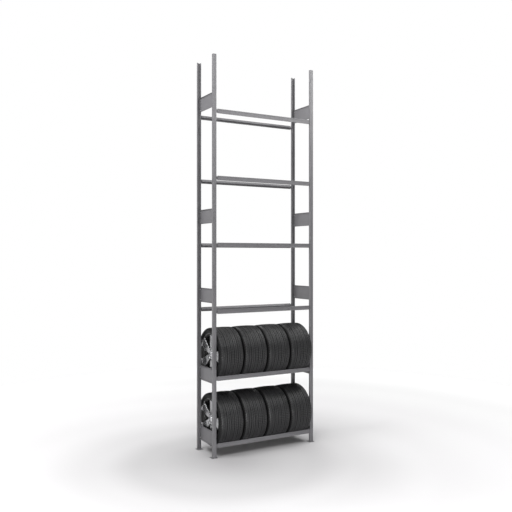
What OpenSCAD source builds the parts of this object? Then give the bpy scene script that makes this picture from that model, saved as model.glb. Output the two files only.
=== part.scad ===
// Tyre storage rack: two bolted end frames joined by six levels of paired beams.
// Tyres stand in the trough between the front and the rear beam of a level.
// X runs along the beams, Y from the front to the rear, Z up. The origin is on the
// floor at the centre of the rack.

/* [Rack] */
// Width over the posts
rack_w = 1350; // [1100:10:1700]
// Depth over the posts
rack_d = 430; // [410:1:460]
// Height of the posts' open tops above the floor
rack_h = 4500; // [4300:10:5000]
// Number of beam levels
levels = 6; // [3:1:6]
// Height of the lowest beams' top edge
first_level = 161; // [140:1:200]
// Height from one level to the next
level_pitch = 747; // [700:1:780]

/* [Posts] */
// Width of a post, along the beams
post_w = 44; // [40:1:60]
// Depth of a post, across the beams
post_d = 28; // [26:1:34]
// Steel thickness of a post
post_t = 2.5; // [2:0.5:3]
// Width of a slot for a beam's hook
slot_w = 7; // [5:0.5:8]
// Height of a slot
slot_h = 13; // [11:1:15]
// Height between the two slots of a beam's end
slot_pitch = 25; // [22:1:26]

/* [Beams] */
// Height of a beam's upright web
beam_h = 52; // [46:1:70]
// How far the sloping top flange reaches inwards
flange_reach = 28; // [26:1:32]
// How far the top flange drops over its reach
flange_drop = 23; // [18:1:26]
// Steel thickness of a beam
beam_t = 2; // [1.5:0.5:2.5]
// Gap between a beam's web and the post, which the claw bridges
beam_gap = 17; // [12:1:25]
// Depth of the pressed channel along the web
bead_depth = 1.5; // [0.5:0.5:2]

/* [Cross plates] */
// Height of a cross plate
plate_h = 164; // [120:1:180]
// Steel thickness of a cross plate
plate_t = 1.5; // [1:0.5:2]
// Depth of a cross plate's folded edges
plate_lip = 12; // [8:1:16]
// Heights of the cross plates' centres
plate_heights = [196, 897, 1800, 2703, 4008]; // [150:1:4200]

/* [Feet] */
// Side of a square foot plate
foot_side = 70; // [66:1:80]
// Thickness of a foot plate
foot_t = 4; // [3:1:8]
// Radius of the anchor hole in a foot plate
anchor_r = 5.5; // [4:0.5:6.5]

/* [Wheels] */
// Outer radius of a tyre
tyre_r = 305; // [300:1:308]
// Width of a tyre
tyre_w = 304; // [280:1:304]
// Gap between tyres that stand side by side
tyre_gap = 6; // [2:0.5:8]
// Loaded levels, counted from the floor
loaded_levels = 2; // [1:1:3]
// Wheels on a loaded level
wheels_per_level = 4; // [2:1:4]
// Radius of the rim's outer edge
rim_r = 240; // [236:1:242]

/* [Hidden] */
$fn = 96;
fit = 0.05; // radial clearance of a nut on its bolt
running = 0.3; // clearance between a tyre and what it stands on
through = 1; // how far a cutting tool stands out of what it cuts

// Posts and slots
post_x = (rack_w - post_w) / 2;
front_y = -rack_d / 2;
open_y = front_y + post_d;
inner_x = rack_w / 2 - post_w;
slot_y = front_y + 9.5;
hook_drop = 14; // from a beam's top edge to its upper hook

// Bends of the folded sheet, measured at its middle
bend_r = 3;
bend_steps = 4;

// Beams and their claws
beam_end = inner_x - beam_gap;
lip_drop = 8; // return lip at the flange's inner edge
lip_in = 10; // return lip at the web's foot
bead_edge = 14; // flat strip above and below the pressed channel
beam_bend_r = 1.2;
claw_t = 2.5;
claw_w = 10;
claw_y = slot_y - 0.5;
arm_t = 3;
arm_h = 34;
hook_t = 4;
hook_h = 9;

// Cross plates and their bolts
flange_in = post_w / 2 - post_t;
plate_half = -(front_y + 14);
bolt_r = 3;
bolt_hole_r = 3.2;
bolt_head_r = 5.25;
bolt_head_h = 3.3;
bolt_len = 12;
bolt_y = open_y - 7.5;
bolt_dz = 60;
nut_r = 5.8;
nut_h = 5;

// Feet
foot_lap = 10; // how far a foot stands out in front of its post
foot_y = front_y - foot_lap + foot_side / 2;
anchor_y = open_y + 17;
tab_h = 50;
tab_half = flange_in - 2; // clears the post's bends

// Wheels
half_w = tyre_w / 2;
slope = atan(flange_drop / flange_reach);
wheel_rise = (tyre_r + running + front_y * sin(slope)) / cos(slope);
wheel_x0 = -inner_x + 7 + half_w;
wheel_turn = 18; // sets one spoke level, towards the front
shoulder_r = 28;
side_r = 36;
casing = 12;
rim_half = half_w - 12;
seat_r = rim_r - 12;
rim_t = 5;
spokes = 5;
hub_face = half_w - 34;
spoke_dish = 20; // how far the spokes rise from the hub to the barrel
spoke_t = 22;
spoke_root = 35; // half of a spoke's width near the hub
spoke_half = 45; // half of its width at the barrel
hub_r = 62;
hub_bore_r = 34;
lug_r = 8;
lug_circle_r = 50;
cap_r = 38;
dish_r = hub_r + (seat_r - hub_r) * (spoke_dish + through) / spoke_dish;

steel = [0.53, 0.53, 0.55];
plate_steel = [0.55, 0.55, 0.57];
zinc = [0.66, 0.66, 0.68];
rubber = [0.13, 0.13, 0.14];
alloy = [0.70, 0.70, 0.72];
bright = [0.82, 0.82, 0.84];

SIDES = ["left", "right"];
ENDS = ["front", "rear"];
wheels = loaded_levels * wheels_per_level;

function level_z(i) = first_level + (i - 1) * level_pitch;
function side_sign(s) = s == "left" ? -1 : 1;
function arc(centre, r, from, to, steps = 6) =
    [for (k = [0:steps]) let (a = from + (to - from) * k / steps)
        [centre[0] + r * cos(a), centre[1] + r * sin(a)]];

// Outline of a sheet of thickness t that is folded along a path of points, with bends of
// middle radius r. The path runs along the middle of the sheet.
function unit(v) = v / norm(v);
function left_of(v) = [-v[1], v[0]];
function turn_at(path, i) = let (u = path[i] - path[i - 1], v = path[i + 1] - path[i])
    atan2(u[0] * v[1] - u[1] * v[0], u * v);
function bend(path, i, r, side) =
    let (a = turn_at(path, i), u = unit(path[i] - path[i - 1]), way = sign(a),
        in = left_of(u) * way, centre = path[i] - u * r * tan(abs(a) / 2) + in * r,
        from = atan2(-in[1], -in[0]))
    arc(centre, r - way * side, from, from + a, bend_steps);
function sheet_side(path, side, r) = let (last = len(path) - 1)
    concat(
        [path[0] + left_of(unit(path[1] - path[0])) * side],
        [for (i = [1:last - 1]) each bend(path, i, r, side)],
        [path[last] + left_of(unit(path[last] - path[last - 1])) * side]
    );
function reversed(points) = [for (k = [len(points) - 1:-1:0]) points[k]];
function folded(path, t, r = bend_r) =
    concat(sheet_side(path, t / 2, r), reversed(sheet_side(path, -t / 2, r)));

// The other half of a symmetric outline. A point on its middle line isn't repeated.
function flipped(points) =
    [for (p = reversed(points)) if (p[0] > 0) [-p[0], p[1]]];

// Places a front piece as it is, and turns it into its mirror image at the rear.
module at_end(e) {
    if (e == "front") children();
    else mirror([0, 1, 0]) children();
}

// ---- End frames ----

module post_section() {
    wall_x = (post_w - post_t) / 2;
    polygon(folded([
        [-wall_x, post_d], [-wall_x, post_t / 2], [wall_x, post_t / 2], [wall_x, post_d]
    ], post_t));
}

module post(s, e) {
    color(steel) at_end(e) translate([side_sign(s) * post_x, 0, 0]) difference() {
        translate([0, front_y, foot_t]) linear_extrude(rack_h - foot_t) post_section();
        for (i = [1:levels]) for (k = [0, 1])
            translate([-side_sign(s) * post_w / 2, slot_y, level_z(i) - hook_drop - k * slot_pitch])
                cube([2 * post_t + 2 * through, slot_w, slot_h], center = true);
        frame_bolts(flange_in - through) cylinder(h = post_t + 2 * through, r = bolt_hole_r);
    }
}

// Puts a piece that points along +Z at each bolt of a front post, pointing along +X.
module frame_bolts(x) {
    for (z = plate_heights) for (dz = [-bolt_dz, bolt_dz])
        translate([x, bolt_y, z + dz]) rotate([0, 90, 0]) children();
}

module foot(s, e) {
    color(zinc) at_end(e) translate([side_sign(s) * post_x, 0, 0]) {
        difference() {
            translate([-foot_side / 2, front_y - foot_lap, 0]) cube([foot_side, foot_side, foot_t]);
            translate([0, anchor_y, -through]) cylinder(h = foot_t + 2 * through, r = anchor_r);
        }
        translate([-tab_half, front_y + post_t, foot_t]) cube([2 * tab_half, post_t, tab_h]);
    }
}

module plate_section() {
    edge = (plate_h - plate_t) / 2;
    polygon(folded([
        [-plate_lip, edge], [-plate_t / 2, edge], [-plate_t / 2, -edge], [-plate_lip, -edge]
    ], plate_t));
}

module cross_plate(s, i) {
    color(plate_steel) translate([side_sign(s) * post_x + flange_in, 0, plate_heights[i - 1]])
        difference() {
            translate([0, plate_half, 0]) rotate([90, 0, 0]) linear_extrude(2 * plate_half)
                plate_section();
            for (y = [-bolt_y, bolt_y]) for (z = [-bolt_dz, bolt_dz])
                translate([-plate_t - through, y, z]) rotate([0, 90, 0])
                    cylinder(h = plate_t + 2 * through, r = bolt_hole_r);
        }
}

module plate_bolts(s) {
    color(zinc) for (e = ENDS) at_end(e) translate([side_sign(s) * post_x, 0, 0])
        frame_bolts(post_w / 2) {
            rotate_extrude() polygon(concat(
                [[0, -bolt_len], [bolt_r, -bolt_len], [bolt_r, 0], [bolt_head_r, 0]],
                [[bolt_head_r, bolt_head_h / 2], [bolt_head_r * 0.6, bolt_head_h], [0, bolt_head_h]]
            ));
        }
}

module plate_nuts(s) {
    color(zinc) for (e = ENDS) at_end(e) translate([side_sign(s) * post_x, 0, 0])
        frame_bolts(flange_in - plate_t - nut_h) difference() {
            cylinder(h = nut_h, r = nut_r, $fn = 6);
            translate([0, 0, -through]) cylinder(h = nut_h + 2 * through, r = bolt_r + fit, $fn = 32);
        }
}

// ---- Beams ----

// Middle of a front beam's sheet as [y, z] points, with the beam's outer top edge at the origin.
// The web has a shallow channel pressed along it, which its two bends at each side form.
function beam_path() = let (m = beam_t / 2) [
    [flange_reach - m, -flange_drop - lip_drop], [flange_reach - m, flange_mid_z(flange_reach - m)],
    [m, flange_mid_z(m)], [m, -bead_edge], [m + bead_depth, -bead_edge - bead_depth],
    [m + bead_depth, -beam_h + bead_edge + bead_depth], [m, -beam_h + bead_edge],
    [m, -beam_h + m], [lip_in, -beam_h + m]
];
function flange_mid_z(y) = -y * tan(slope) - beam_t / 2 / cos(slope);

module beam_section() {
    polygon(folded(beam_path(), beam_t, beam_bend_r));
}

// Draws a [y, z] section and runs it along X from x0 for a length.
module along_x(x0, length) {
    translate([x0, 0, 0]) rotate([90, 0, 90]) linear_extrude(length) children();
}

// End plate, recessed arm and hooked claw at the right end of a front beam.
module beam_claw() {
    along_x(beam_end, claw_t) polygon([
        [0, 0], [flange_reach, -flange_drop], [flange_reach, -flange_drop - lip_drop],
        [lip_in, -beam_h], [0, -beam_h]
    ]);
    translate([beam_end + claw_t, claw_y - front_y - arm_t / 2, -beam_h / 2 - arm_h / 2 - 2])
        cube([beam_gap - claw_t, arm_t, arm_h]);
    translate([inner_x - claw_t, claw_y - front_y - claw_w / 2, -beam_h])
        cube([claw_t, claw_w, beam_h]);
    for (k = [0, 1]) translate([inner_x, slot_y - front_y, -hook_drop - k * slot_pitch]) {
        translate([-claw_t / 2, -hook_t / 2, -hook_h / 2])
            cube([claw_t / 2 + post_t + hook_t, hook_t, hook_h]);
        translate([post_t + 0.5, -hook_t / 2, -hook_h])
            cube([hook_t - 0.5, hook_t, hook_h]);
    }
}

module beam(e, i) {
    color(steel) at_end(e) translate([0, front_y, level_z(i)]) {
        along_x(-beam_end, 2 * beam_end) beam_section();
        beam_claw();
        mirror([1, 0, 0]) beam_claw();
    }
}

// ---- Wheels ----

// Puts a piece built around Z, with its face upwards, in its place on the rack, face to the left.
module at_wheel(i) {
    level = floor((i - 1) / wheels_per_level) + 1;
    place = (i - 1) % wheels_per_level;
    translate([wheel_x0 + place * (tyre_w + tyre_gap), 0, level_z(level) + wheel_rise])
        rotate([0, -90, 0]) rotate([0, 0, wheel_turn]) children();
}

// Outer half of a tyre's section as [width, radius] points, from the crown to the bead.
function tyre_outside() = concat(
    [[0, tyre_r], [half_w * 0.45, tyre_r - 0.6], [half_w - 46, tyre_r - 1.8]],
    arc([half_w - 30, tyre_r - 31], shoulder_r, 84, 16),
    arc([half_w - side_r, tyre_r - 38], side_r, 8, -42),
    [[rim_half + 1, rim_r + 1], [rim_half - 6, rim_r + 1], [rim_half - 6, seat_r]]
);

function tyre_inside() = [
    [rim_half - 26, seat_r], [rim_half - 20, rim_r + 2], [half_w - casing - 5, tyre_r - 45],
    [half_w - casing, tyre_r - 34], [half_w - casing - 9, tyre_r - casing - 7],
    [half_w - 40, tyre_r - casing - 1], [0, tyre_r - casing]
];

// Turns a closed outline of [width, radius] points into a ring around Z.
module ring(points) {
    rotate_extrude() polygon([for (p = points) [p[1], p[0]]]);
}

module tyre(i) {
    outside = tyre_outside();
    inside = tyre_inside();
    color(rubber) at_wheel(i) ring(concat(flipped(outside), outside, inside, flipped(inside)));
}

function barrel_outside() = [
    [rim_half - 6, seat_r], [rim_half - 6, rim_r], [rim_half, rim_r], [rim_half, rim_r - 7]
];

function barrel_inside() = [[rim_half - 7, seat_r - rim_t]];

// A wide spoke along X, from inside the hub into the barrel's wall.
function spoke_outline() = let (end = seat_r - rim_t / 2, a = asin(spoke_half / end)) concat(
    [[hub_bore_r + 2, -spoke_root * 0.6], [hub_r + 4, -spoke_root], [hub_r + 58, -spoke_half]],
    arc([0, 0], end, -a, a, 4),
    [[hub_r + 58, spoke_half], [hub_r + 4, spoke_root], [hub_bore_r + 2, spoke_root * 0.6]]
);

// Hub and spokes, seen along the wheel's axis.
module rim_face() {
    difference() {
        union() {
            circle(r = hub_r);
            for (k = [0:spokes - 1]) rotate((k + 0.5) * 360 / spokes) polygon(spoke_outline());
        }
        circle(r = hub_bore_r);
        for (k = [0:spokes - 1]) rotate((k + 0.5) * 360 / spokes)
            translate([lug_circle_r, 0]) circle(r = lug_r);
    }
}

module rim(i) {
    color(alloy) at_wheel(i) {
        ring(concat(
            flipped(barrel_outside()), barrel_outside(), barrel_inside(), flipped(barrel_inside())
        ));
        difference() {
            translate([0, 0, hub_face - spoke_t]) linear_extrude(spoke_t + spoke_dish) rim_face();
            translate([0, 0, hub_face]) cylinder(h = spoke_dish + through, r1 = hub_r, r2 = dish_r);
        }
    }
}

module hub_cap(i) {
    cap_z = hub_face;
    color(bright) at_wheel(i) ring([
        [cap_z - 16, 0], [cap_z - 16, hub_bore_r - fit], [cap_z, hub_bore_r - fit], [cap_z, cap_r],
        [cap_z + 2.5, cap_r], [cap_z + 6.5, cap_r - 8], [cap_z + 8, cap_r - 20], [cap_z + 8.5, 0]
    ]);
}

for (e = ENDS) for (s = SIDES) {
    post(s, e);
    foot(s, e);
}
for (s = SIDES) {
    for (i = [1:len(plate_heights)])
        cross_plate(s, i);
    plate_bolts(s);
    plate_nuts(s);
}
for (e = ENDS) for (i = [1:levels]) beam(e, i);
for (i = [1:wheels]) {
    tyre(i);
    rim(i);
    hub_cap(i);
}
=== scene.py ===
"""Looks of the tyre storage rack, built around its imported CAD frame."""
import math

import bmesh
import bpy
from mathutils import Matrix, Vector


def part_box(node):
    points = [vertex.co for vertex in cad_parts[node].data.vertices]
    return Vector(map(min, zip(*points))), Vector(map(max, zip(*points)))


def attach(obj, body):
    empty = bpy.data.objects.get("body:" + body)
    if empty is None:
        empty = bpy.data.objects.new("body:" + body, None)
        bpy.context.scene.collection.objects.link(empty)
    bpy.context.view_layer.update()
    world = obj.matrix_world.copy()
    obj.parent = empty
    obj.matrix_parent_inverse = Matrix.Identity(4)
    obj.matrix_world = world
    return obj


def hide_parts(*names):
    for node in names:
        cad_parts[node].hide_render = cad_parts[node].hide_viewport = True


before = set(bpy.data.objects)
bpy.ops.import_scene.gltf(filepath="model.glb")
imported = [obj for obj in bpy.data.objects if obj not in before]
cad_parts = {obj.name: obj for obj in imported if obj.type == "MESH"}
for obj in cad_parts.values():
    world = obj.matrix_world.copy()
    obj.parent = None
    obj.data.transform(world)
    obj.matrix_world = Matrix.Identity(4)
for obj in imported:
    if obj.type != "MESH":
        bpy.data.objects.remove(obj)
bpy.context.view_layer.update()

WHEELS = range(1, 9)


# ---- Driving sizes, in metres, taken from the frame ----

def wheel_place(i):
    """Centre of a wheel, its tyre's radius and half its width."""
    low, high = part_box(f"tyre_{i}")
    return (low + high) / 2, (high.z - low.z) / 2, (high.x - low.x) / 2


_, TYRE_R, HALF_W = wheel_place(1)
rim_low, rim_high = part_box("rim_1")
RIM_R = (rim_high.z - rim_low.z) / 2
RIM_HALF = (rim_high.x - rim_low.x) / 2
SEAT_R = RIM_R - 0.012  # where the tyre's bead sits
CAP_FACE = wheel_place(1)[0].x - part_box("hub_cap_1")[0].x  # measured from the wheel's middle


# ---- Material nodes ----

def material(name, colour, roughness, metallic=0.0, **sockets):
    """A new material with its shader, and constants set on the shader's own sockets."""
    made = bpy.data.materials.new(name)
    made.use_nodes = True
    shader = made.node_tree.nodes["Principled BSDF"]
    shader.inputs["Base Color"].default_value = (*colour, 1)
    shader.inputs["Roughness"].default_value = roughness
    shader.inputs["Metallic"].default_value = metallic
    for key, value in sockets.items():
        shader.inputs[key.replace("_", " ")].default_value = value
    made.diffuse_color = (*colour, 1)
    return made, made.node_tree, shader


def node(tree, kind, settings=None, **inputs):
    """A node of that kind. A value sets an input, and an output socket links to it."""
    made = tree.nodes.new(kind)
    for key, value in (settings or {}).items():
        setattr(made, key, value)
    for key, value in inputs.items():
        socket = made.inputs[int(key[1:]) if key[1:].isdigit() else key.replace("_", " ")]
        if isinstance(value, bpy.types.NodeSocket):
            tree.links.new(value, socket)
        else:
            socket.default_value = value
    return made


def place(tree):
    """Object coordinates in metres."""
    return node(tree, "ShaderNodeTexCoord").outputs["Object"]


def noise(tree, at, scale, detail=4.0, roughness=0.55):
    return node(tree, "ShaderNodeTexNoise", Vector=at, Scale=scale, Detail=detail,
                Roughness=roughness).outputs[0]


def spread(tree, value, low, high):
    """Maps 0.3 to 0.7, which is most of a noise, to low to high."""
    return node(tree, "ShaderNodeMapRange", Value=value, From_Min=0.3, From_Max=0.7,
                To_Min=low, To_Max=high).outputs[0]


def between(tree, share, a, b):
    """A colour that goes from a to b as share goes from 0 to 1."""
    mix = node(tree, "ShaderNodeMix", {"data_type": "RGBA"})
    for key, value in (("Factor", share), ("A", a), ("B", b)):
        socket = [s for s in mix.inputs if s.name == key and s.enabled][0]
        if isinstance(value, bpy.types.NodeSocket):
            tree.links.new(value, socket)
        else:
            socket.default_value = value if key == "Factor" else (*value, 1)
    return [s for s in mix.outputs if s.enabled][0]


def bump(tree, shader, height, strength, distance):
    made = node(tree, "ShaderNodeBump", Height=height, Strength=strength, Distance=distance)
    tree.links.new(made.outputs[0], shader.inputs["Normal"])


def math_node(tree, operation, a, b):
    return node(tree, "ShaderNodeMath", {"operation": operation}, _0=a, _1=b).outputs[0]


# ---- Materials ----

def powder_coat(name, colour, rough=0.46):
    """Satin powder coat: fine orange peel, and faint uneven tone from handling and dust."""
    made, tree, shader = material(name, colour, rough, 0.0, Coat_Weight=0.12, Coat_Roughness=0.35)
    at = place(tree)
    cloud = spread(tree, noise(tree, at, 5.0, 5.0), 0.0, 1.0)
    darker = tuple(c * 0.96 for c in colour)
    lighter = tuple(c * 1.04 for c in colour)
    tree.links.new(between(tree, cloud, darker, lighter), shader.inputs["Base Color"])
    smudge = spread(tree, noise(tree, at, 12.0, 4.0), rough - 0.03, rough + 0.04)
    tree.links.new(smudge, shader.inputs["Roughness"])
    bump(tree, shader, noise(tree, at, 500.0, 1.0), 0.03, 0.0003)
    return made


def zinc_plate():
    made, tree, shader = material("zinc", (0.46, 0.46, 0.47), 0.42, 0.85)
    at = place(tree)
    cells = node(tree, "ShaderNodeTexVoronoi", Vector=at, Scale=160.0).outputs["Color"]
    tone = node(tree, "ShaderNodeSeparateColor", Color=cells).outputs[0]
    tree.links.new(between(tree, tone, (0.40, 0.40, 0.41), (0.52, 0.52, 0.53)),
                   shader.inputs["Base Color"])
    tree.links.new(spread(tree, noise(tree, at, 60.0), 0.36, 0.52), shader.inputs["Roughness"])
    bump(tree, shader, noise(tree, at, 400.0, 3.0), 0.08, 0.0005)
    return made


def tyre_rubber(name, colour, rough, gloss, grain):
    """Vulcanised rubber: matt, a little dusty, with a fine moulded grain."""
    made, tree, shader = material(name, colour, rough, 0.0, Specular_IOR_Level=gloss)
    at = place(tree)
    dust = spread(tree, noise(tree, at, 9.0, 6.0), 0.0, 1.0)
    dusty = tuple(c * 1.5 + 0.001 for c in colour)
    tree.links.new(between(tree, dust, colour, dusty), shader.inputs["Base Color"])
    tree.links.new(spread(tree, noise(tree, at, 40.0), rough - 0.08, rough + 0.08),
                   shader.inputs["Roughness"])
    bump(tree, shader, noise(tree, at, grain, 3.0), 0.2, 0.0006)
    return made


def lacquered_alloy():
    made, tree, shader = material("alloy", (0.36, 0.36, 0.37), 0.25, 1.0, Coat_Weight=0.2,
                                  Coat_Roughness=0.2)
    at = place(tree)
    flake = spread(tree, noise(tree, at, 1500.0, 1.0), 0.0, 1.0)
    tree.links.new(between(tree, flake, (0.33, 0.33, 0.34), (0.39, 0.39, 0.40)),
                   shader.inputs["Base Color"])
    tree.links.new(spread(tree, noise(tree, at, 30.0), 0.22, 0.29), shader.inputs["Roughness"])
    return made


def barrel_shade_and_dust():
    """Near-black inside of the rim: painted shade of the rim's inside, seen through the windows,
    with random patches of brake dust.
    """
    made, tree, shader = material("barrel", (0.014, 0.014, 0.015), 0.6)
    at = place(tree)
    dust = spread(tree, noise(tree, at, 18.0, 5.0), 0.0, 1.0)
    tree.links.new(between(tree, dust, (0.010, 0.010, 0.011), (0.022, 0.021, 0.020)),
                   shader.inputs["Base Color"])
    bump(tree, shader, noise(tree, at, 300.0, 3.0), 0.15, 0.0008)
    return made


def cap_metal():
    made, tree, shader = material("cap", (0.60, 0.60, 0.62), 0.22, 0.9, Coat_Weight=0.5,
                                  Coat_Roughness=0.08)
    at = place(tree)
    tree.links.new(spread(tree, noise(tree, at, 120.0), 0.17, 0.30), shader.inputs["Roughness"])
    return made


RACK_PAINT = powder_coat("rack_paint", (0.105, 0.103, 0.109))
PLATE_PAINT = powder_coat("plate_paint", (0.114, 0.112, 0.118), 0.5)
ZINC = zinc_plate()
TREAD = tyre_rubber("tread_rubber", (0.0090, 0.0090, 0.0096), 0.45, 0.5, 700.0)
# Sidewall rubber, near black: the rubber's own dark colour, darkened further as painted shade for
# the gaps between neighbouring tyres.
SIDEWALL_AND_GAP_SHADE = tyre_rubber("sidewall_rubber_gap_shade", (0.0022, 0.0022, 0.0024), 0.5, 0.2, 1200.0)
ALLOY = lacquered_alloy()
BARREL_SHADE_AND_DUST = barrel_shade_and_dust()
CAP = cap_metal()


def paint(name, made):
    """Gives a CAD node a material."""
    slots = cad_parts[name].data.materials
    slots.clear()
    slots.append(made)


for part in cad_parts:
    if part.startswith("cross_plate"):
        paint(part, PLATE_PAINT)
    elif part.startswith(("post", "foot", "front_beam", "rear_beam")):
        paint(part, RACK_PAINT)
    elif part.startswith("plate_"):
        paint(part, ZINC)


# ---- Mesh helpers. A wheel's axis is X and its face looks to -X ----

def finish_mesh(name, bm, materials, sharp=32):
    bmesh.ops.recalc_face_normals(bm, faces=bm.faces)
    mesh = bpy.data.meshes.new(name)
    bm.to_mesh(mesh)
    bm.free()
    for m in materials:
        mesh.materials.append(m)
    for p in mesh.polygons:
        p.use_smooth = True
    mesh.set_sharp_from_angle(angle=math.radians(sharp))
    return mesh


def put(name, mesh, at, body, slot, *nodes):
    """A piece at a place, riding on a body and standing for CAD nodes."""
    made = bpy.data.objects.new(name, mesh)
    bpy.context.scene.collection.objects.link(made)
    made.location = at
    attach(made, body)
    if nodes:
        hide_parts(*nodes)
    return made


def around(angle, radius):
    """A point (y, z) on a circle round the wheel's axis."""
    return radius * math.cos(angle), radius * math.sin(angle)


def strips(bm, here, there, index=None):
    """Faces between two closed loops of vertices. index gives the material of each face."""
    for k in range(len(here)):
        n = (k + 1) % len(here)
        face = bm.faces.new((here[k], here[n], there[n], there[k]))
        face.material_index = index[k] if index else 0


def revolve(bm, profile, steps, index=None, closed=True):
    """A ring around X from a profile of (x, radius) points. A radius of 0 closes it as a fan."""
    rings = []
    for x, r in profile:
        if r < 1e-6:
            rings.append([bm.verts.new((x, 0, 0))])
        else:
            rings.append([bm.verts.new((x, *around(2 * math.pi * s / steps, r)))
                          for s in range(steps)])
    for k in range(len(rings) if closed else len(rings) - 1):
        a, b = rings[k], rings[(k + 1) % len(rings)]
        for s in range(steps):
            n = (s + 1) % steps
            if len(a) == 1:
                corners = (a[0], b[s], b[n])
            elif len(b) == 1:
                corners = (a[s], a[n], b[0])
            else:
                corners = (a[s], a[n], b[n], b[s])
            bm.faces.new(corners).material_index = index[k] if index else 0


def arc(cx, cr, radius, start, end, steps):
    """Points of an arc in a (x, radius) outline, with angles in degrees."""
    return [(cx + radius * math.cos(math.radians(start + (end - start) * k / steps)),
             cr + radius * math.sin(math.radians(start + (end - start) * k / steps)))
            for k in range(steps + 1)]


# ---- Tyre ----

PITCHES = 68  # tread pitches round a tyre
GROOVE_ROWS = (0.0, 0.10)  # shares of a pitch where the shoulder's cross grooves are deep
SIPE_ROW = 0.535  # share of a pitch where the sipe is
ROWS = (*GROOVE_ROWS, 0.15, 0.51, SIPE_ROW, 0.56, 0.95)
# Grooves round the tread: distance from the middle, half width and depth
GROOVES = ((0.0, 0.0022, 0.0065), (0.0205, 0.0044, 0.0085), (0.0440, 0.0022, 0.0065),
           (0.0690, 0.0048, 0.0085), (0.0970, 0.0024, 0.0065))
SIPE = 0.0035  # depth of the sipes
NOTCH = 0.0035  # depth of the short cross notches in the ribs next to the shoulder
CROSS = 0.0065  # depth of the cross grooves in the shoulder
NOTCHED = 0.06  # distance from the middle where the notched ribs begin
TREAD_EDGE = 0.113  # distance from the middle where the shoulder begins
CROWN_DROP = 0.0035  # how much lower the tread's surface is at CROWN_HALF from the middle
CROWN_HALF = 0.11
SWEEP = 0.20  # angle that a cross groove runs round the tyre, from the middle to the sidewall
# These strips take the darker sidewall rubber, which paints the shade in the gaps between
# neighbouring tyres.
WALL_STRIPS = 18  # strips of the lower shoulder, sidewall and bead on each side


def crown(x):
    """Radius of the tread surface at a distance x from the middle."""
    return TYRE_R - CROWN_DROP * (x / CROWN_HALF) ** 2.4


def tread_half():
    """Half of the tread as (x, radius, cross groove's depth, sipe's depth)."""
    points = []
    last = 0.0
    for centre, half, deep in GROOVES:
        cut = NOTCH if last > NOTCHED else 0.0
        if centre:
            middle = (last + centre - half) / 2
            points.append((middle, crown(middle), cut, SIPE))
            points.append((centre - half, crown(centre - half), cut, SIPE))
            points.append((centre - half * 0.6, crown(centre) - deep, 0.0, 0.0))
        else:
            points.append((0.0, crown(0) - deep, 0.0, 0.0))
        points.append((centre + half * 0.6, crown(centre) - deep, 0.0, 0.0))
        last = centre + half
        points.append((last, crown(last), NOTCH if last > NOTCHED else 0.0, SIPE))
    points.append((TREAD_EDGE, crown(TREAD_EDGE), CROSS, SIPE))
    return points


def side_half():
    """Shoulder and sidewall as (x, radius, groove, sipe) from the tread to the bead."""
    shoulder = arc(HALF_W - 0.0315, TYRE_R - 0.0325, 0.0285, 84, 14, 6)
    cuts = ((CROSS, SIPE), (CROSS, SIPE), (0.006, 0.002), (0.005, 0.0), (0.003, 0.0), (0.0, 0.0),
            (0.0, 0.0))
    points = [(x, r, *cut) for (x, r), cut in zip(shoulder, cuts)]
    protector = RIM_R + 0.0065
    wall = arc(HALF_W - 0.036, TYRE_R - 0.038, 0.036, 10, -26, 5) + [
        (HALF_W - 0.0085, protector + 0.007), (HALF_W - 0.0045, protector + 0.0045),
        (HALF_W - 0.0045, protector + 0.001), (HALF_W - 0.0110, protector - 0.002),
        (RIM_HALF + 0.0012, RIM_R + 0.0005), (RIM_HALF - 0.006, RIM_R - 0.001),
        (RIM_HALF - 0.006, SEAT_R - 0.001), (RIM_HALF - 0.03, SEAT_R - 0.001),
    ]
    return points + [(x, r, 0.0, 0.0) for x, r in wall]


def sweep(x):
    """Angle that the cross grooves have run round the tyre by a distance x from the middle."""
    return SWEEP * min(abs(x) / HALF_W, 1.0) ** 1.35


def tyre_mesh():
    half = tread_half() + side_half()
    outline = [(-x, *rest) for x, *rest in reversed(half[1:])] + half
    bm = bmesh.new()
    rows = []
    for pitch in range(PITCHES):
        for share in ROWS:
            ring = []
            for x, r, groove, sipe in outline:
                t = 2 * math.pi * (pitch + share) / PITCHES + sweep(x)
                r -= groove if share in GROOVE_ROWS else sipe if share == SIPE_ROW else 0.0
                ring.append(bm.verts.new((x, *around(t, r))))
            rows.append(ring)
    # The lower shoulders, sidewalls and beads take the sidewall rubber, which paints the shade in
    # the gaps between tyres.
    last = len(outline) - WALL_STRIPS - 1
    index = [1 if k < WALL_STRIPS or k >= last else 0 for k in range(len(outline))]
    for here, there in zip(rows, rows[1:] + rows[:1]):
        strips(bm, here, there, index)
    return finish_mesh("tyre", bm, [TREAD, SIDEWALL_AND_GAP_SHADE])


# ---- Rim ----

SPOKES = 5
HUB_FACE = CAP_FACE - 0.0085  # plane of the hub, measured from the wheel's middle
BORE_R = 0.034
WINDOW_TIP = 0.061  # radius where the windows between the spokes begin
LUG_CIRCLE = 0.050  # radius of the circle that the lug bolts stand on
LIP = RIM_HALF
DISH = 0.0255  # how far the spokes' ends stand out from the hub's plane
SPOKE_THICK = 0.030
SPOKE_ROOT = 0.0325  # half of a spoke's width where the windows begin
SPOKE_GROWTH = 0.15  # what that half gains for each unit of radius
FLARE_R = 0.190  # radius where a spoke starts to flare into the barrel
BARREL_STEPS = 120
HUB_STEPS = 64


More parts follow.
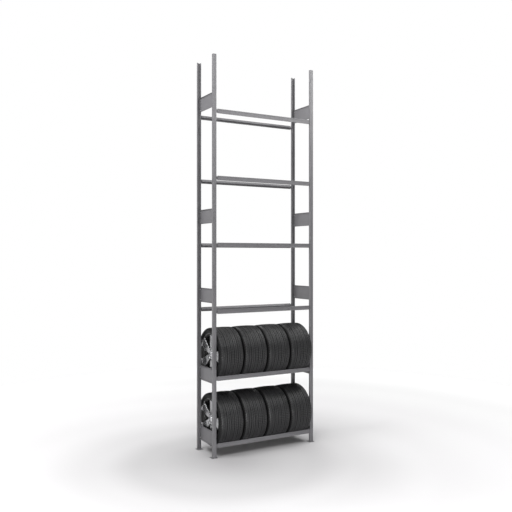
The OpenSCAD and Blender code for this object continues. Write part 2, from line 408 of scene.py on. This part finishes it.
def barrel_profile():
    """Closed (x, radius) outline of the barrel with its drop centre, and its materials."""
    outside = [
        (-LIP + 0.006, SEAT_R), (-LIP + 0.030, SEAT_R), (-0.075, SEAT_R - 0.016),
        (0.062, SEAT_R - 0.016), (0.090, SEAT_R), (LIP - 0.006, SEAT_R),
        (LIP - 0.006, RIM_R - 0.002), (LIP - 0.0045, RIM_R - 0.0005),
        (LIP - 0.0015, RIM_R - 0.0005), (LIP, RIM_R - 0.002), (LIP - 0.001, RIM_R - 0.007),
    ]
    inside = [
        (LIP - 0.007, SEAT_R - 0.0055), (0.088, SEAT_R - 0.006), (0.060, SEAT_R - 0.022),
        (-0.073, SEAT_R - 0.022), (-0.093, SEAT_R - 0.006), (-LIP + 0.010, SEAT_R - 0.0055),
        (-LIP + 0.003, RIM_R - 0.009), (-LIP, RIM_R - 0.0042), (-LIP, RIM_R - 0.0016),
        (-LIP + 0.0015, RIM_R - 0.0005), (-LIP + 0.0045, RIM_R - 0.0005),
        (-LIP + 0.006, RIM_R - 0.002),
    ]
    # The barrel's inside and the lips' inner faces get the near-black material: painted shade
    # inside the rim.
    dark = set(range(len(outside) - 1, len(outside) + 7))
    outline = outside + inside
    return outline, [1 if k in dark else 0 for k in range(len(outline))]


def dish(r):
    """How far the spokes' face stands out from the hub's plane at a radius."""
    share = max(0.0, (r - WINDOW_TIP) / (SEAT_R - WINDOW_TIP))
    return DISH * share ** 0.4


def spoke_half(r):
    """Half of a spoke's width, measured along the circle of that radius."""
    full = math.pi * r / SPOKES
    if r <= WINDOW_TIP:
        return full
    straight = SPOKE_ROOT + SPOKE_GROWTH * (r - WINDOW_TIP)
    flare = 0.012 * max(0.0, (r - FLARE_R) / (SEAT_R - FLARE_R)) ** 2
    tip = 0.005 * (1 - math.exp(-(r - WINDOW_TIP) / 0.004))
    return min(full - tip, straight + flare)


def spoke_section(r):
    """Outline of a spoke across its length, as (distance along the circle, x), face first."""
    half = spoke_half(r)
    face = -(HUB_FACE + dish(r))
    back = face + SPOKE_THICK - 0.006 * math.sin(math.pi * min(r / SEAT_R, 1.0))
    soft = 1 - math.exp(-max(0.0, r - WINDOW_TIP) / 0.006)
    belly = 0.0016 * soft
    side = [(0.0, belly), (half * 0.4, belly * 0.8), (half * 0.68, 0.0), (half - 0.0040, 0.0),
            (half - 0.0020, 0.0004 * soft), (half - 0.0006, 0.0013 * soft), (half, 0.0030 * soft)]
    front = [(-u, face + x) for u, x in reversed(side[1:])] + [(u, face + x) for u, x in side]
    rear = [(half - 0.002, back - 0.003), (half - 0.006, back), (0.0, back), (0.006 - half, back),
            (0.002 - half, back - 0.003)]
    return front + rear


def spoke_angle(k):
    """Angle of a spoke round X. The first one points to the front, which is -Y."""
    return math.pi + 2 * math.pi * k / SPOKES


def rim_mesh():
    bm = bmesh.new()
    outline, index = barrel_profile()
    revolve(bm, outline, BARREL_STEPS, index)
    radii = (BORE_R, 0.042, 0.052, 0.058, WINDOW_TIP, 0.0625, 0.0645, 0.068, 0.074, 0.083, 0.095,
             0.112, 0.132, 0.155, 0.178, 0.196, 0.210, 0.220, SEAT_R - 0.001)
    for k in range(SPOKES):
        rows = []
        for r in radii:
            row = []
            for u, x in spoke_section(r):
                t = spoke_angle(k) + u / r
                row.append(bm.verts.new((x, *around(t, r))))
            rows.append(row)
        for here, there in zip(rows, rows[1:]):
            strips(bm, here, there)
    # The pad behind the hub is near black too: painted shade behind the spokes.
    pad = [(-HUB_FACE + 0.018, BORE_R), (-HUB_FACE + 0.018, 0.072), (-HUB_FACE + 0.050, 0.068),
           (-HUB_FACE + 0.054, 0.064), (-HUB_FACE + 0.054, BORE_R)]
    revolve(bm, pad, HUB_STEPS, [1] * len(pad))
    return finish_mesh("rim", bm, [ALLOY, BARREL_SHADE_AND_DUST], sharp=40)


def lug_bolts_mesh():
    """One bolt on each spoke's line: a hexagonal head on a thin near-black disc, which paints the
    shade of the recess round the bolt.
    """
    bm = bmesh.new()
    for k in range(SPOKES):
        y, z = around(spoke_angle(k), LUG_CIRCLE)
        for sides, slot, profile in (
            (28, 1, [(0, 0.0), (0, 0.0106), (-0.0007, 0.0106), (-0.0007, 0.0098), (-0.0002, 0.0092),
                     (-0.0002, 0.0)]),
            (6, 0, [(0, 0.0), (0, 0.0080), (-0.0052, 0.0080), (-0.0064, 0.0068), (-0.0064, 0.0030),
                    (-0.0050, 0.0024), (-0.0050, 0.0)]),
        ):
            first = len(bm.verts)
            revolve(bm, profile, sides, [slot] * len(profile), closed=False)
            bm.verts.ensure_lookup_table()
            for v in bm.verts[first:]:
                v.co += Vector((-HUB_FACE, y, z))
    return finish_mesh("lug_bolts", bm, [ZINC, BARREL_SHADE_AND_DUST])


def cap_mesh():
    """Hub cap: a shallow dome with a groove round it."""
    bm = bmesh.new()
    z = -CAP_FACE
    revolve(bm, [
        (z + 0.026, 0.0), (z + 0.026, 0.033), (z + 0.0095, 0.033), (z + 0.0095, 0.0375),
        (z + 0.0080, 0.0385), (z + 0.0060, 0.0375), (z + 0.0045, 0.0335), (z + 0.0058, 0.0315),
        (z + 0.0058, 0.0300), (z + 0.0035, 0.0285), (z + 0.0015, 0.0200), (z + 0.0004, 0.0100),
        (z, 0.0),
    ], HUB_STEPS, closed=False)
    return finish_mesh("hub_cap", bm, [CAP])


def valve_mesh():
    """Rubber valve stem with its cap, in a window between two spokes."""
    bm = bmesh.new()
    revolve(bm, [
        (0, 0.0), (0, 0.0075), (-0.004, 0.0075), (-0.007, 0.0045), (-0.020, 0.0040),
        (-0.020, 0.0048), (-0.031, 0.0046), (-0.033, 0.0036), (-0.033, 0.0),
    ], 20, closed=False)
    y, z = around(spoke_angle(1.5), SEAT_R - 0.014)
    tilt = Matrix.Rotation(math.radians(14), 4, Vector((0, -z, y)))
    bm.transform(Matrix.Translation((-LIP + 0.036, y, z)) @ tilt)
    return finish_mesh("valve", bm, [SIDEWALL_AND_GAP_SHADE])


def make_wheels():
    tyre, rim, cap = tyre_mesh(), rim_mesh(), cap_mesh()
    bolts, valve = lug_bolts_mesh(), valve_mesh()
    for i in WHEELS:
        at = wheel_place(i)[0]
        body = f"wheel_{i}"
        put(f"tyre_{i}_treaded", tyre, at, body, "tyre", f"tyre_{i}")
        put(f"rim_{i}_spoked", rim, at, body, "alloy", f"rim_{i}")
        put(f"hub_cap_{i}_domed", cap, at, body, "cap", f"hub_cap_{i}")
        put(f"lug_bolts_{i}", bolts, at, body, "zinc")
        put(f"valve_{i}", valve, at, body, "tyre")


make_wheels()


# ---- Floor, light and camera ----

FLOOR_R = 5.6
FLOOR_SHADE_SHIFT = (0.6, 0.4, 0)  # the tones' middle lies this far to the left and the front
FADE_R = 7.0  # distance that the end of the colour ramp stands for
# Distance from the middle of the floor's painted shade, and the floor's colour there. The grey
# close to the rack paints the rack's soft shadow; far off it is near white.
FLOOR_SHADE_TONES = (
    (0.0, (0.34, 0.335, 0.34)), (0.9, (0.43, 0.425, 0.43)), (1.4, (0.515, 0.51, 0.515)),
    (2.2, (0.60, 0.595, 0.60)), (3.2, (0.665, 0.66, 0.665)), (4.4, (0.745, 0.745, 0.745)),
    (6.2, (0.98, 0.98, 0.98)),
)
WORLD_GLOW = 1.5  # light from straight above
GLOW_FOCUS = 4.0  # the higher, the faster that light fades towards the horizon
FAR_WHITE = 0.55  # light from beyond the floor's edge
FAR_RISE = 0.06  # how far above the horizon that light reaches
# Name, power, angle left of the front, distance, height, size, and the height it looks at
SOFT_BOXES = (
    ("box_front_left_high", 275, 45, 5.0, 7.0, 3.0, 2.2),
    ("box_front_right_high", 75, -35, 5.0, 6.0, 3.0, 1.0),
    ("box_front_right", 35, -45, 8.0, 2.5, 4.0, 2.2),
    ("box_left_high", 290, 90, 5.0, 7.0, 3.0, 2.2),
    ("box_left_low", 90, 70, 5.5, 0.7, 2.2, 0.2),
    ("box_front_low", 95, 20, 5.0, 0.7, 2.0, 0.2),
    ("box_rear_left", 20, 150, 6.0, 2.0, 3.0, 1.0),
    ("box_rear_high", 180, 180, 5.0, 7.0, 3.0, 2.2),
    ("box_right_high", 165, -90, 5.0, 7.0, 3.0, 2.2),
)
# Name, power, angle left of the front, distance, height, the height it looks at, and its cone
SPOTS = (
    ("spot_right", 700, -45, 7.0, 6.0, 5.2, 50),
    ("spot_front", 200, -10, 7.0, 6.0, 5.2, 50),
    ("spot_left", 1200, 65, 7.0, 6.0, 5.2, 50),
    ("spot_low", 300, 20, 4.0, 0.4, 0.15, 34),
)
CAMERA_AT = (-3.9135, -6.7959, 2.2502)
HEADING = 29.93  # turned this many degrees from the rear towards the right
LENS = 46.36


def make_floor():
    """Pale round floor that ends in the white behind it. Close to the rack its colour is greyer: a
    painted shadow of the rack.
    """
    bm = bmesh.new()
    bmesh.ops.create_circle(bm, cap_ends=True, segments=128, radius=FLOOR_R)
    floor = bpy.data.objects.new("floor", bpy.data.meshes.new("floor"))
    bm.to_mesh(floor.data)
    bm.free()
    made, tree, shader = material("floor", FLOOR_SHADE_TONES[-1][1], 0.9)
    shader.inputs["Specular IOR Level"].default_value = 0.1
    at = node(tree, "ShaderNodeMapping", Vector=place(tree), Location=FLOOR_SHADE_SHIFT).outputs[0]
    away = node(tree, "ShaderNodeVectorMath", {"operation": "LENGTH"}, _0=at)
    share = node(tree, "ShaderNodeMapRange", Value=away.outputs["Value"], From_Max=FADE_R)
    # The colour ramp paints the rack's soft shadow into the floor's colour.
    painted_shade_ramp = node(tree, "ShaderNodeValToRGB", Fac=share.outputs[0])
    painted_shade_ramp.color_ramp.interpolation = "EASE"
    stops = painted_shade_ramp.color_ramp.elements
    for k, (radius, tone) in enumerate(FLOOR_SHADE_TONES):
        stop = stops[k] if k < 2 else stops.new(radius / FADE_R)
        stop.position = radius / FADE_R
        stop.color = (*tone, 1)
    tree.links.new(painted_shade_ramp.outputs[0], shader.inputs["Base Color"])
    floor.data.materials.append(made)
    bpy.context.scene.collection.objects.link(floor)


def make_world():
    """White behind everything. Its light is a soft glow from above, and white beyond the floor."""
    world = bpy.data.worlds.new("studio")
    bpy.context.scene.world = world
    world.use_nodes = True
    tree = world.node_tree
    glow = tree.nodes["Background"]
    up = node(tree, "ShaderNodeSeparateXYZ",
              Vector=node(tree, "ShaderNodeTexCoord").outputs["Generated"]).outputs[2]
    above = math_node(tree, "POWER", math_node(tree, "MAXIMUM", up, 0.0), GLOW_FOCUS)
    below = math_node(tree, "LESS_THAN", up, FAR_RISE)
    far = math_node(tree, "MULTIPLY", below, FAR_WHITE / WORLD_GLOW)
    tree.links.new(math_node(tree, "ADD", above, far), glow.inputs["Color"])
    glow.inputs["Strength"].default_value = WORLD_GLOW
    white = node(tree, "ShaderNodeBackground", Color=(1, 1, 1, 1), Strength=1.0)
    seen = node(tree, "ShaderNodeLightPath").outputs["Is Camera Ray"]
    mix = node(tree, "ShaderNodeMixShader", _0=seen, _1=glow.outputs[0], _2=white.outputs[0])
    tree.links.new(mix.outputs[0], tree.nodes["World Output"].inputs["Surface"])


def lamp(kind, name, watts, left_of_front, away, height, target, **settings):
    """A lamp at an angle left of the front, in degrees, looking at a height on the rack's axis."""
    light = bpy.data.lights.new(name, kind)
    light.energy = watts
    for key, value in settings.items():
        setattr(light, key, value)
    made = bpy.data.objects.new(name, light)
    turn = math.radians(left_of_front)
    made.location = (-away * math.sin(turn), -away * math.cos(turn), height)
    look = Vector((0, 0, target)) - made.location
    made.rotation_euler = look.to_track_quat("-Z", "Y").to_euler()
    made.visible_camera = False
    bpy.context.scene.collection.objects.link(made)


def make_light():
    for name, watts, turn, away, height, size, target in SOFT_BOXES:
        lamp("AREA", name, watts, turn, away, height, target, size=size)
    for name, watts, turn, away, height, target, cone in SPOTS:
        lamp("SPOT", name, watts, turn, away, height, target, spot_size=math.radians(cone),
             spot_blend=1.0, shadow_soft_size=0.5)


def make_camera():
    """A level camera in front of the rack and left of it."""
    data = bpy.data.cameras.new("camera")
    data.sensor_width = 36.0
    data.lens = LENS
    data.clip_end = 200
    camera = bpy.data.objects.new("camera", data)
    camera.location = CAMERA_AT
    camera.rotation_euler = (math.radians(90), 0, math.radians(-HEADING))
    bpy.context.scene.collection.objects.link(camera)
    bpy.context.scene.camera = camera


make_floor()
make_world()
make_light()
make_camera()
bpy.context.scene.view_settings.view_transform = "Standard"
